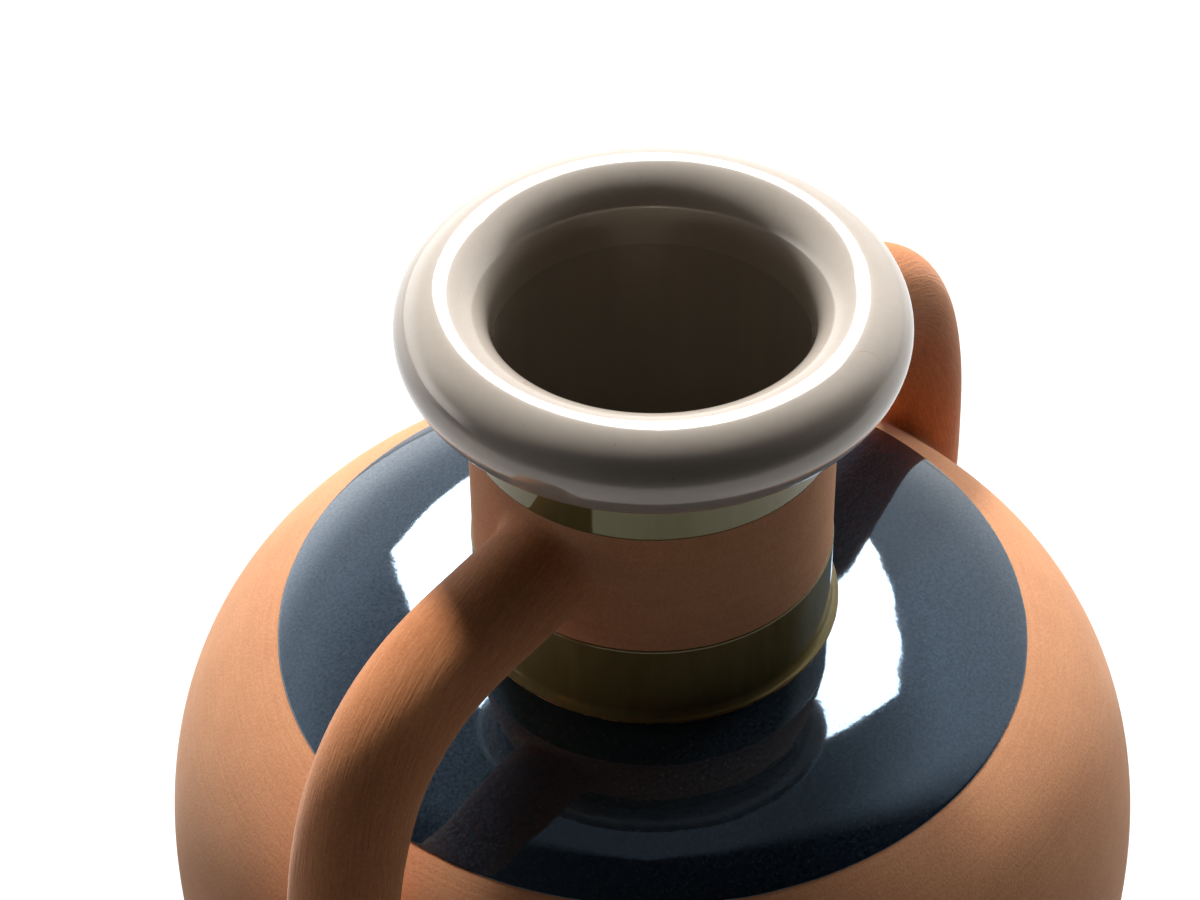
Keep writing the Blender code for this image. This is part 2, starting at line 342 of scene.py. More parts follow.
def curve_point(knots, t):
    """A point along a cubic curve with four knots."""
    s = 1 - t
    weights = (s**3, 3 * s * s * t, 3 * s * t * t, t**3)
    total = knots[0] * weights[0]
    for knot, weight in zip(knots[1:], weights[1:]):
        total = total + knot * weight
    return total


def dome_point(t):
    """The belly's upper half, from the flat shoulder at t = 0 down to the seam at t = 1."""
    knots = (
        Vector((flat_radius, shoulder_height)),
        Vector((flat_radius + TOP_FULLNESS * (body_radius - flat_radius), shoulder_height)),
        Vector((body_radius, seam_height + SIDE_FULLNESS * (shoulder_height - seam_height))),
        Vector((body_radius, seam_height)),
    )
    return tuple(curve_point(knots, t))


def halved(low, high, over):
    """Where a test turns from false to true between two values."""
    while high - low > CURVE_PRECISION:
        middle = (low + high) / 2
        if over(middle):
            high = middle
        else:
            low = middle
    return low


dome_outer = [dome_point(t) for t in shares(0.0, 1.0, SIDE_STEPS)]
dome_inner = [(flat_radius, ceiling_height)] + inward(dome_outer, WALL)[1:]
seam_edge = [(body_radius, seam_height + SEAM_SOFTNESS), (body_radius - SEAM_SOFTNESS, seam_height)]
dome_outline = [(neck_base_radius, shoulder_height)] + dome_outer[:-1] + seam_edge
dome_outline += dome_inner[::-1] + [(neck_base_radius, ceiling_height)]
dome = thrown("dome_clay", lambda angle: dome_outline)
dome.data.materials.append(body_clay)
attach(dome, "root")
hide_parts("shoulder_dome")

# Neck collar
# A straight thrown collar, luted into the dome's opening with a small swept foot.  Only its middle
# belt stays bare, where the handles spring from it.

NECK_WALL = 0.0065
NECK_FOOT_EDGE = 0.0006
FILLET_STEPS = 10

neck_fillet = neck_base_radius - neck_radius
neck_bore = neck_radius - NECK_WALL
lip_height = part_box("neck_collar")[1].z
neck_foot = shoulder_height + NECK_FOOT_EDGE
fillet_angles = shares(math.pi, 1.5 * math.pi, FILLET_STEPS)
neck_sweep = [
    (
        neck_base_radius + neck_fillet * math.cos(a),
        neck_foot + neck_fillet + neck_fillet * math.sin(a),
    )
    for a in fillet_angles
]
neck_outline = [(neck_radius, lip_height)] + neck_sweep
neck_outline += [(neck_base_radius, ceiling_height), (neck_bore, ceiling_height), (neck_bore, lip_height)]
neck = thrown("neck_clay", lambda angle: neck_outline)
neck.data.materials.append(body_clay)
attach(neck, "root")
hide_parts("neck_collar")

# Rim roll
# A fat coil of clay, rolled out, lapped over the neck's lip and smoothed into a ring.  The grey glaze
# covers it from its seat on the neck round to the inside.

ROLL_STEPS = 144
RIDGE = 0.00034
RIDGE_SPAN = math.radians(20)

roll_low, roll_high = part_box("rim_roll")
roll_tube = (roll_high.z - roll_low.z) / 2
roll_radius = roll_high.x - roll_tube
roll_height = (roll_high.z + roll_low.z) / 2


def roll_arc(tube, start, end):
    """Points round the roll's section, which the fingers left a little peaked on top."""
    points = []
    for a in shares(start, end, ROLL_STEPS):
        peaked = tube + RIDGE * math.exp(-(((a - math.pi / 2) / RIDGE_SPAN) ** 2))
        points.append((roll_radius + peaked * math.cos(a), roll_height + peaked * math.sin(a)))
    return points


roll_foot_angle = -math.acos((neck_radius - roll_radius) / roll_tube)
roll_outline = roll_arc(roll_tube, math.pi, roll_foot_angle)
roll_outline += [(neck_radius, lip_height), (neck_bore, lip_height)]
roll = thrown("rim_clay", lambda angle: roll_outline)
roll.data.materials.append(body_clay)
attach(roll, "root")
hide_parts("rim_roll")

# Handles
# Two rods rolled by hand, bent while soft, scored and pressed on at neck and belly, with the joint
# smoothed over by a finger.  Each lies a little differently, and the bare clay keeps fine wiping strokes.

HANDLE_RADIUS = 0.0156
HANDLE_STRAIGHT = 0.0276
HANDLE_FALL = math.radians(1.1)
HANDLE_DROP = 0.0973
LEFT_RAISED = 0.0007
LEFT_INSET = 0.0056
RIGHT_RAISED = -0.0012
RIGHT_INSET = 0.0040
HANDLE_SINK = 0.009
HANDLE_TAIL_UNDER_SEAM = 0.0043
BEND_OUT = 0.565
BEND_DOWN = 0.868
ROD_SIDES = 72
ROD_RINGS = 132
FILLET_RINGS = 10
ROOT_FILLET_TOP = 0.0045
ROOT_FILLET = 0.0022
FOOT_FILLET = 0.0070
FOOT_FILLET_TAIL = 0.0120
PRESSED_IN = 0.0008
FEATHERED = 0.00015
CAP_DEPTH = 0.003
ROOT_WITHIN = 0.04
FOOT_AFTER = 0.55
ROOT_FILLET_ALONG = 1.3
FOOT_FILLET_ALONG = 1.2
SLOPE_STEP = 0.0005
HAND_WAVER = 0.00022
WAVER_AROUND = 1.3
WAVER_PER_METRE = 38.0
STROKE_TWIST = -9.0
HANDLE_TONES = ((0.50, 0.182, 0.067), (0.63, 0.246, 0.093), (0.73, 0.315, 0.130))
HANDLE_SHEEN = 0.14
LONG_STROKES_PER_METRE = 1500.0
LONG_STROKES_DRAWN = (1.0, 1.0, 0.06)
SHORT_STROKES_PER_METRE = 1900.0
SHORT_STROKES_DRAWN = (1.0, 1.0, 0.16)

belt_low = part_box("lower_neck_glaze")[1].z
belt_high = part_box("upper_neck_glaze")[0].z
root_height = (belt_low + belt_high) / 2


class Path:
    """A line of points in a plane, read by the length along it."""

    def __init__(self, points, start=0.0):
        self.points = [Vector(p) for p in points]
        self.lengths = [start]
        for point, following in zip(self.points, self.points[1:]):
            self.lengths.append(self.lengths[-1] + (following - point).length)
        self.end = self.lengths[-1]

    def stretch(self, length):
        """The number of the stretch that holds this length, its run and the share of it passed."""
        i = 0
        while i < len(self.lengths) - 2 and self.lengths[i + 1] < length:
            i += 1
        run = self.points[i + 1] - self.points[i]
        return i, run, (length - self.lengths[i]) / (self.lengths[i + 1] - self.lengths[i])


class Rod(Path):
    """A handle's bent rod in its own plane, read by the length from the neck's face."""

    def __init__(self, raised, inset):
        self.face = Vector((neck_radius, root_height + raised))
        super().__init__(self.bent(inset), -NECK_WALL)

    def bent(self, inset):
        """The centre line, from inside the neck out, down and into the belly."""
        fall = Vector((math.cos(HANDLE_FALL), -math.sin(HANDLE_FALL)))
        bend = self.face + fall * HANDLE_STRAIGHT
        outermost = Vector((body_radius - inset, bend.y - HANDLE_DROP))
        tail_reach = body_radius - HANDLE_RADIUS - HANDLE_SINK
        tail = Vector((tail_reach, seam_height - HANDLE_TAIL_UNDER_SEAM))
        lean = 2 * math.atan2(outermost.x - tail.x, outermost.y - tail.y)
        down = Vector((0.0, -1.0))
        inside = Vector((-math.sin(lean), -math.cos(lean)))
        reach = BEND_OUT * (outermost.x - bend.x)
        drop = BEND_DOWN * (bend.y - outermost.y)
        sweep = (outermost - tail).length / 3
        bow = (bend, bend + fall * reach, outermost - down * drop, outermost)
        end = (outermost, outermost + down * sweep, tail - inside * sweep, tail)
        path = [self.face - fall * NECK_WALL, self.face, bend]
        path += [curve_point(bow, t) for t in shares(0.0, 1.0, ROD_RINGS)[1:]]
        path += [curve_point(end, t) for t in shares(0.0, 1.0, ROD_RINGS)[1:]]
        return path + [tail + inside * HANDLE_RADIUS]

    def at(self, length):
        """Centre and direction of the rod at this length."""
        i, run, share = self.stretch(length)
        return self.points[i] + run * share, run.normalized()

    def skin(self, length, around):
        """A point on the rod's skin; around is 0 on its upper, outer side."""
        centre, run = self.at(length)
        turned = Vector((math.cos(around), math.sin(around), 0.0)) * WAVER_AROUND
        waver = noise.noise(turned + Vector((0.0, 0.0, length * WAVER_PER_METRE)))
        radius = HANDLE_RADIUS + HAND_WAVER * waver
        out = radius * math.cos(around)
        return Vector((centre.x - run.y * out, radius * math.sin(around), centre.y + run.x * out))


def belly_reach(height):
    """The belly's radius at this height."""
    if height >= seam_height:
        return dome_point(halved(0.0, 1.0, lambda t: dome_point(t)[1] < height))[0]
    return body_radius * math.sqrt(1 - ((seam_height - height) / bowl_depth) ** 2)


def belly_outward(point):
    """The belly's outward direction at a point on it."""
    rise = belly_reach(point.z + SLOPE_STEP) - belly_reach(point.z - SLOPE_STEP)
    slope = rise / (2 * SLOPE_STEP)
    across = point.xy.normalized()
    return Vector((across.x, across.y, -slope)).normalized()


def on_belly(point):
    """The nearest place on the belly in a level direction."""
    across = point.xy.normalized() * belly_reach(point.z)
    return Vector((across.x, across.y, point.z))


def bowed(start, corner, end):
    """Points along a finger-smoothed fillet, both ends left out, each with its share of the rod."""
    steps = shares(0.0, 1.0, FILLET_RINGS)[1:-1]
    return [(start * (1 - t) ** 2 + corner * 2 * t * (1 - t) + end * t**2, 1 - t) for t in steps]


def rod_strip(rod, around):
    """One line of points along the handle, each with its rod length and its share of the rod's strokes."""
    across = Vector((math.cos(around), math.sin(around)))
    upper = max(0.0, across.x)

    def out_of_neck(length):
        """Whether the rod's skin has left the neck here."""
        return rod.skin(length, around).xy.length > neck_radius

    def into_belly(length):
        """Whether the rod's skin has gone into the belly here."""
        skin = rod.skin(length, around)
        return skin.xy.length < belly_reach(skin.z)

    root = halved(-NECK_WALL, ROOT_WITHIN, out_of_neck)
    root_soft = ROOT_FILLET + (ROOT_FILLET_TOP - ROOT_FILLET) * upper
    corner = rod.skin(root, around)
    turn = math.atan2(corner.y, corner.x)
    spread = Vector((neck_radius * turn, corner.z - rod.face.y))
    spread = spread + spread.normalized() * root_soft
    turn = spread.x / neck_radius
    neck_out = Vector((math.cos(turn), math.sin(turn), 0.0))
    neck_edge = neck_out * neck_radius + Vector((0.0, 0.0, rod.face.y + spread.y))
    start = root + root_soft * ROOT_FILLET_ALONG

    foot = halved(rod.end * FOOT_AFTER, rod.end, into_belly)
    foot_soft = FOOT_FILLET + (FOOT_FILLET_TAIL - FOOT_FILLET) * upper
    landing = rod.skin(foot, around)
    run = rod.at(foot)[1]
    away = Vector((-run.y * across.x, across.y, run.x * across.x)) + Vector((run.x, 0.0, run.y)) * upper
    outward = belly_outward(landing)
    away = (away - outward * away.dot(outward)).normalized()
    belly_edge = on_belly(landing + away * foot_soft)
    belly_edge -= belly_outward(belly_edge) * FEATHERED
    end = foot - foot_soft * FOOT_FILLET_ALONG

    neck_in = neck_out * -PRESSED_IN
    belly_in = belly_outward(belly_edge) * -PRESSED_IN
    strip = [(neck_edge + neck_in, root, 0.0), (neck_edge, root, 0.0)]
    strip += [(p, root, kept) for p, kept in bowed(rod.skin(start, around), corner, neck_edge)[::-1]]
    strip += [(rod.skin(s, around), s, 1.0) for s in shares(start, end, ROD_RINGS)]
    strip += [(p, foot, kept) for p, kept in bowed(rod.skin(end, around), landing, belly_edge)]
    strip += [(belly_edge, foot, 0.0), (belly_edge + belly_in, foot, 0.0)]
    return strip


def handle(name, side, rod):
    """One handle on the +X or the -X side, closed under the clay at both ends."""
    shape = bmesh.new()
    rod_place = shape.verts.layers.float_vector.new("rod_place")
    stroked = shape.verts.layers.float.new("stroked")
    strips = []
    for k in range(ROD_SIDES):
        around = 2 * math.pi * k / ROD_SIDES
        strip = []
        for point, length, kept in rod_strip(rod, around):
            vertex = shape.verts.new((point.x * side, point.y, point.z))
            twisted = around + STROKE_TWIST * length * side
            straight = Vector((math.cos(twisted), math.sin(twisted))) * HANDLE_RADIUS
            vertex[rod_place] = (straight.x, straight.y, length)
            vertex[stroked] = kept
            strip.append(vertex)
        strips.append(strip)
    for strip, following in zip(strips, strips[1:] + strips[:1]):
        for a, b, c, d in zip(strip, strip[1:], following[1:], following):
            shape.faces.new((a, b, c, d))
    for end in (0, -1):
        ring = [strip[end] for strip in strips]
        middle = sum((v.co for v in ring), Vector()) / len(ring)
        middle -= Vector((middle.x, middle.y, 0.0)).normalized() * CAP_DEPTH
        hub = shape.verts.new(middle)
        for vertex, following in zip(ring, ring[1:] + ring[:1]):
            shape.faces.new((vertex, following, hub))
    return settled(name, shape)


def rod_share(wire):
    """One on the rod, falling to nothing where a fillet is smoothed into the pot."""
    return wire.node("ShaderNodeAttribute", {"attribute_name": "stroked"}, {}, "Fac")


def handle_tones(wire):
    """The rod's redder colours, running into the pot's own on the fillets."""
    kept = rod_share(wire)
    return [kept.blend(opaque(pot), opaque(rod)) for pot, rod in zip(BODY_TONES, HANDLE_TONES)]


def wiping_strokes(wire):
    """Fine strokes along the rod, read in the straightened rod's own space."""
    rod = wire.node("ShaderNodeAttribute", {"attribute_name": "rod_place"}, {}, "Vector")
    kept = rod_share(wire)
    long_strokes = rod.times(LONG_STROKES_DRAWN).cloud(LONG_STROKES_PER_METRE)
    short_strokes = rod.times(SHORT_STROKES_DRAWN).cloud(SHORT_STROKES_PER_METRE)
    return (long_strokes * 0.8 + short_strokes * 0.7) * kept


handle_clay = clay("handle_terracotta", handle_tones, HANDLE_SHEEN, wiping_strokes)

hands = (
    ("left_handle", "handle_left", -1.0, LEFT_RAISED, LEFT_INSET),
    ("right_handle", "handle_right", 1.0, RIGHT_RAISED, RIGHT_INSET),
)
for name, node, side, raised, inset in hands:
    piece = handle(name, side, Rod(raised, inset))
    piece.data.materials.append(handle_clay)
    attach(piece, "root")
    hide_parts(node)

# Shoulder glaze
# A dark blue glaze brushed on the turning wheel over the flat shoulder, out to one clean circle.
# It has fused to a thick glassy coat with a rounded edge, faintly mottled.

GLAZE_SINK = 0.0003
LIP_STEPS = 7
COAT_STEPS = 84
SHOULDER_COAT = 0.00035
LIP_ROUND = 2.2
EDGE_WANDER = 0.00016
WANDER_PER_TURN = 9.0
FINE_WANDER = 4.0
FINE_WANDER_SHARE = 0.4
SEED_STEP = 7.0
TUCKED_UNDER = 0.0012
GLAZE_DENSITY = 1.62
GLOSS_MOTTLE_PER_METRE = 160.0
BLUE_DEEP = (0.001, 0.003, 0.006)
BLUE_PALE = (0.018, 0.027, 0.039)
BLUE_DENSITY = 1.79
BLUE_GLOSS = (0.50, 0.74, 1.0)
BLUE_ROUGHNESS = 0.045
SPECKLE_PER_METRE = 1050.0
GLINT_PER_METRE = 1100.0
GLINT_ROUGHNESS = 0.06

blue_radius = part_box("shoulder_glaze")[1].x


class Face(Path):
    """A clay surface's outline, with the clay on its right."""

    def at(self, length):
        """The point at this length, and the direction out of the clay."""
        i, run, share = self.stretch(length)
        before = self.points[i] - self.points[max(i - 1, 0)] if i else run
        after = self.points[min(i + 2, len(self.points) - 1)] - self.points[i + 1]
        after = after if after.length else run
        start = (before.normalized() + run.normalized()).normalized()
        end = (run.normalized() + after.normalized()).normalized()
        ahead = start.lerp(end, min(max(share, 0.0), 1.0))
        return self.points[i] + run * share, Vector((-ahead.y, ahead.x)).normalized()


def wander(angle, seed):
    """How far a brushed edge strays at this angle."""
    around = Vector((math.cos(angle), math.sin(angle), 0.0)) * WANDER_PER_TURN
    shift = Vector((0.0, 0.0, seed))
    fine = noise.noise(around * FINE_WANDER + shift)
    return EDGE_WANDER * (noise.noise(around + shift) + FINE_WANDER_SHARE * fine)


def coat(name, points, depth, seed, rounded=(True, True)):
    """A glaze over a clay surface, with a rounded lip or a flush cut at its first and last edge."""
    face = Face(points)
    lip = depth * LIP_ROUND
    near = [lip * (1 - math.cos(a)) for a in shares(0.0, math.pi / 2, LIP_STEPS)]
    middle = shares(lip, face.end - lip, COAT_STEPS)[1:-1]
    stations = near + middle + [face.end - s for s in near[::-1]]

    def thickness(length):
        """The coat's depth at this length, less over a rounded lip."""
        rise = 1.0
        for soft, edge in zip(rounded, (length, face.end - length)):
            if soft and edge < lip:
                rise = math.sqrt(max(0.0, 1 - (1 - edge / lip) ** 2))
        return depth * rise

    def outline_at(angle):
        """The coat's section at this angle, its edges strayed."""
        first = wander(angle, seed) if rounded[0] else 0.0
        last = wander(angle, seed + SEED_STEP) if rounded[1] else 0.0
        outer = []
        under = []
        for length in stations:
            strayed = first + length * (face.end + last - first) / face.end
            point, out = face.at(strayed)
            outer.append(tuple(point + out * thickness(length)))
            under.append(tuple(point - out * GLAZE_SINK))
        return outer + under[::-1]

    return thrown(name, outline_at)


def glaze(name, colour, mottle, relief, roughness, tint, density=GLAZE_DENSITY):
    """A glossy glaze with tinted gloss.  colour and relief take the wire and return their own wires."""
    material, shader, wire = finish(name)
    feed(shader, "Base Color", colour(wire))
    feed(shader, "Normal", pressed(wire, relief(wire)))
    place = wire.node("ShaderNodeTexCoord", {}, {}, "Object")
    feed(shader, "Roughness", roughness + place.cloud(GLOSS_MOTTLE_PER_METRE) * mottle)
    shader.inputs["IOR"].default_value = density
    shader.inputs["Specular Tint"].default_value = opaque(tint)
    return material


def blue_colour(wire):
    """Deep blue, finely mottled."""
    place = wire.node("ShaderNodeTexCoord", {}, {}, "Object")
    broad = place.cloud(24.0, 3.0)
    tone = 0.5 + broad * 0.15 + place.cloud(SPECKLE_PER_METRE)
    return tone.blend(opaque(BLUE_DEEP), opaque(BLUE_PALE))


def brushed_relief(wire):
    """Orange peel and the faint rings of the brush, in millimetres."""
    place, reach, height = turned_place(wire)
    unrolled = wire.node("ShaderNodeCombineXYZ", {}, {"X": reach, "Z": height})
    swells = place.cloud(60.0, 1.0) * 0.04
    peel = place.cloud(420.0, 1.0) * 0.003
    pricks = place.cloud(1300.0, 1.0) * 0.0008
    return swells + peel + pricks + unrolled.cloud(420.0) * 0.003


blue_glaze = glaze(
    "midnight_blue_glaze", blue_colour, 0.015, brushed_relief, BLUE_ROUGHNESS, BLUE_GLOSS, BLUE_DENSITY
)
blue_shader = blue_glaze.node_tree.nodes["Principled BSDF"]
blue_place = Wire(blue_glaze.node_tree).node("ShaderNodeTexCoord", {}, {}, "Object")
feed(blue_shader, "Coat Weight", 0.18 + blue_place.cloud(GLINT_PER_METRE) * 0.50)
blue_shader.inputs["Coat Roughness"].default_value = GLINT_ROUGHNESS

blue_edge = halved(0.0, 1.0, lambda t: dome_point(t)[0] > blue_radius)
shoulder_path = [(neck_base_radius - TUCKED_UNDER, shoulder_height)]
shoulder_path += [dome_point(t) for t in shares(0.0, blue_edge, SIDE_STEPS)]
shoulder_coat = coat("blue_shoulder_coat", shoulder_path, SHOULDER_COAT, 1.0, (False, True))
shoulder_coat.data.materials.append(blue_glaze)
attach(shoulder_coat, "root")
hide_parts("shoulder_glaze")

# Neck bands
# An olive glaze in two bands, one from the bare belt down to the shoulder and one up under the rim.
# Brushed on and run a little in the kiln, it breaks to brown where it is thin, at the lower band's edges.

BAND_COAT = 0.0004
BAND_STEPS = 24
THIN_EDGE = 0.0016
THIN_EDGE_END = 0.0002
THIN_LIP = 0.002
THIN_FOOT = 0.0012
THIN_FOOT_END = 0.0004
EDGE_STRAY = 0.0006
OLIVE_DEEP = (0.125, 0.096, 0.034)
OLIVE_PALE = (0.215, 0.168, 0.066)
OLIVE_THIN = (0.20, 0.135, 0.060)
OLIVE_FOOT = (0.20, 0.135, 0.050)
OLIVE_ROUGHNESS = 0.06
OLIVE_GLOSS = (0.74, 0.74, 0.44)
RUNS_DRAWN = (1.0, 1.0, 0.18)

band_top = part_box("upper_neck_glaze")[1].z


def olive_colour(wire):
    """Olive in streaks that have run down, browner at the lower band's top edge and round its foot."""
    place, reach, height = turned_place(wire)
    streaks = place.times(RUNS_DRAWN).cloud(260.0)
    broad = place.cloud(38.0)
    tone = 0.5 + broad * 0.4 + streaks * 0.35
    colour = tone.blend(opaque(OLIVE_DEEP), opaque(OLIVE_PALE))
    stray = place.cloud(320.0) * EDGE_STRAY
    thin = (height + stray).ease(belt_low - THIN_EDGE, belt_low - THIN_EDGE_END)
    thin = thin * (1.0 - height.ease(belt_low, belt_low + THIN_LIP))
    foot = (reach + stray * 0.5).ease(neck_base_radius - THIN_FOOT, neck_base_radius - THIN_FOOT_END)
    colour = (thin * 0.7).blend(colour, opaque(OLIVE_THIN))
    return (foot * 0.6).blend(colour, opaque(OLIVE_FOOT))


def poured_relief(wire):
    """Soft swells of a poured glaze, in millimetres."""
    place = wire.node("ShaderNodeTexCoord", {}, {}, "Object")
    return place.cloud(70.0, 1.0) * 0.05 + place.cloud(360.0, 1.0) * 0.005


olive_glaze = glaze("olive_glaze", olive_colour, 0.02, poured_relief, OLIVE_ROUGHNESS, OLIVE_GLOSS)

lower_path = [(neck_radius, z) for z in shares(belt_low, neck_sweep[0][1], BAND_STEPS)]
lower_path += neck_sweep[1:]
upper_path = [(neck_radius, z) for z in shares(band_top, belt_high, BAND_STEPS)]
bands = (
    ("lower_olive_band", "lower_neck_glaze", lower_path, 3.0),
    ("upper_olive_band", "upper_neck_glaze", upper_path, 5.0),
)
for name, node, path, seed in bands:
    band = coat(name, path, BAND_COAT, seed)
    band.data.materials.append(olive_glaze)
    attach(band, "root")
    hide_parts(node)

# Rim glaze
# A warm grey glaze, dipped, so it is thicker and smoother than the brushed ones.  It wraps the roll
# from the olive band underneath, over the top and down to the seat inside.

SEAT_STEPS = 8
GREY_DEEP = (0.315, 0.270, 0.225)
GREY_PALE = (0.368, 0.320, 0.272)
GREY_INSIDE = (0.226, 0.192, 0.153)
HAIRLINE = (0.22, 0.125, 0.070)
HAIRLINE_WIDTH = 0.00012
PINHOLE = (0.16, 0.125, 0.10)
PINHOLES_PER_METRE = 260.0
GREY_ROUGHNESS = 0.07
GREY_GLOSS = (1.0, 0.92, 0.85)
GREY_HAZE = 0.36
GREY_HAZE_ROUGHNESS = 0.32

rim_low, rim_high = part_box("rim_glaze")
rim_coat_depth = (rim_high.z - rim_low.z) / 2 - roll_tube


def grey_colour(wire):
    """Warm grey with clouds, pinholes and a few brown hairlines, darker and browner on the roll's inner,
    lower side.
    """
    place, reach, height = turned_place(wire)
    broad = place.cloud(30.0, 3.0)
    fine = place.cloud(420.0)
    tone = 0.5 + broad * 0.35 + fine * 0.3
    colour = tone.blend(opaque(GREY_DEEP), opaque(GREY_PALE))
    vein = place.cloud(55.0, 1.0)
    hair = 1.0 - (vein * vein).ease(0.0, HAIRLINE_WIDTH)
    where = place.times((1.0, 1.0, 1.6)).cloud(48.0, 0.0).ease(0.42, 0.55)
    colour = (hair * where * 0.55).blend(colour, opaque(HAIRLINE))
    pinholes = specks(place, PINHOLES_PER_METRE, 0.05, 0.10)
    colour = (pinholes * 0.6).blend(colour, opaque(PINHOLE))
    # Towards the throat the grey turns to the darker, browner tone that the liner starts from.
    inside = 1.0 - reach.ease(roll_radius - roll_tube, roll_radius - 0.55 * roll_tube)
    lowered = 1.0 - height.ease(roll_height - 0.2 * roll_tube, roll_height + 0.8 * roll_tube)
    return (inside * lowered).blend(colour, opaque(GREY_INSIDE))


def dipped_relief(wire):
    """A dipped glaze is nearly level, in millimetres."""
    place = wire.node("ShaderNodeTexCoord", {}, {}, "Object")
    return place.cloud(40.0, 1.0) * 0.14 + place.cloud(500.0, 1.0) * 0.0015


grey_glaze = glaze("stone_grey_glaze", grey_colour, 0.02, dipped_relief, GREY_ROUGHNESS, GREY_GLOSS)
grey_shader = grey_glaze.node_tree.nodes["Principled BSDF"]
grey_shader.inputs["Coat Weight"].default_value = GREY_HAZE
grey_shader.inputs["Coat Roughness"].default_value = GREY_HAZE_ROUGHNESS

rim_end = -math.acos((neck_radius + BAND_COAT - roll_radius) / roll_tube)
rim_path = [(neck_bore, z) for z in shares(lip_height, roll_height, SEAT_STEPS)[:-1]]
rim_path += roll_arc(roll_tube, math.pi, rim_end)
rim_coat = coat("grey_rim_coat", rim_path, rim_coat_depth, 9.0, (False, True))
rim_coat.data.materials.append(grey_glaze)
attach(rim_coat, "root")
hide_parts("rim_glaze")

# Liner
# The glaze swilled round the inside, so that the porous clay holds water: floor, wall, ceiling and
# throat in one satin coat.

LINER_COAT = 0.0008
LINER_DEEP = (0.178, 0.148, 0.115)
LINER_PALE = GREY_INSIDE
LINER_ROUGHNESS = 0.16
THROAT_STEPS = 24
SWILLED_DRAWN = (1.0, 1.0, 0.12)


def liner_colour(wire):
    """A darker, browner grey than the rim's, streaked where it ran down."""
    place = wire.node("ShaderNodeTexCoord", {}, {}, "Object")
    streaks = place.times(SWILLED_DRAWN).cloud(120.0, 3.0)
    broad = place.cloud(22.0)
    tone = 0.5 + streaks * 0.4 + broad * 0.3
    return tone.blend(opaque(LINER_DEEP), opaque(LINER_PALE))


liner_glaze = glaze("liner_glaze", liner_colour, 0.04, poured_relief, LINER_ROUGHNESS, GREY_GLOSS)

liner_path = [(0.0, floor_height)] + bowl_inner[::-1] + dome_inner[::-1]
liner_path += [(neck_bore, z) for z in shares(ceiling_height, lip_height, THROAT_STEPS)]
liner_skin = inward(liner_path, -LINER_COAT)
liner_skin[0] = (0.0, liner_skin[0][1])
liner_back = inward(liner_path, GLAZE_SINK)[::-1]
liner_back[-1] = (0.0, liner_back[-1][1])
liner = thrown("liner_coat", lambda angle: liner_skin + liner_back)
liner.data.materials.append(liner_glaze)
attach(liner, "root")
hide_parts("liner_glaze")

# Studio
# A white floor, which the glazes see with a painted pool of light round the vase, and a pale cove, bright
# behind the vase and on its left flank, dim overhead and in front.
# A large soft box hangs behind the vase, with a small key lamp beside it and a fill lamp on the right.
# The soft box is hung twice: one lights the clay, and a brighter one is seen in the glazes alone.

CAMERA_PLACE = Vector((-0.5564, -0.4110, 0.9327))
CAMERA_HEADING = math.radians(-52.3)
CAMERA_TILT = math.radians(41.82)
CAMERA_ROLL = math.radians(-0.64)
CAMERA_LENS = 97.05
SENSOR_WIDTH = 36.0
FLOOR_RADIUS = 6.0
FLOOR_SIDES = 96
FLOOR_WHITE = 0.85
FLOOR_NEAR = 0.3
FLOOR_FAR = 2.0
FLOOR_BOUNCE = 0.24
FLOOR_GLOW = 0.75
BEHIND_FROM = -0.2
BEHIND_TO = 0.8
COVE_TONE = 1.0
HORIZON_TONE = 1.15
FLANK_TONE = 2.55
FRONT_TONE = 0.04
OVERHEAD_TONE = 0.16
RIGHT_RISE = 0.46
BOX_TURN = math.radians(2.0)
BOX_LIFT = math.radians(45.8)
BOX_LEAN = math.radians(123.7)
LAMP_DISTANCE = 3.0
GLARE_DISTANCE = 2.98
BOX_LENGTH = 1.76
BOX_WIDTH = 1.11
BOX_RADIANCE = 11.2
BOX_GLARE = 18.5
KEY_TURN = math.radians(-12.5)
KEY_LIFT = math.radians(45.5)
KEY_SIZE = 0.40
KEY_RADIANCE = 265.0
FILL_TURN = math.radians(38.0)
FILL_LIFT = math.radians(25.0)
FILL_SIZE = 1.2
FILL_RADIANCE = 11.0

away = Vector((math.sin(-CAMERA_HEADING), math.cos(CAMERA_HEADING), 0.0))
rightward = Vector((math.cos(CAMERA_HEADING), math.sin(CAMERA_HEADING), 0.0))
lit_place = Vector((0.0, 0.0, shoulder_height))


def along(vector, way):
    """How far a vector goes in this direction."""
    settings = {"operation": "DOT_PRODUCT"}
    return vector.node("ShaderNodeVectorMath", settings, {0: vector, 1: way}, "Value")


shape = bmesh.new()
bmesh.ops.create_circle(shape, cap_ends=True, segments=FLOOR_SIDES, radius=FLOOR_RADIUS)
floor = settled("studio_floor", shape)
floor_material, shader, wire = finish("studio_floor")
in_sight = wire.node("ShaderNodeLightPath", {}, {}, "Is Camera Ray")
mirrored = wire.node("ShaderNodeLightPath", {}, {}, "Is Glossy Ray")
place, reach, height = turned_place(wire)
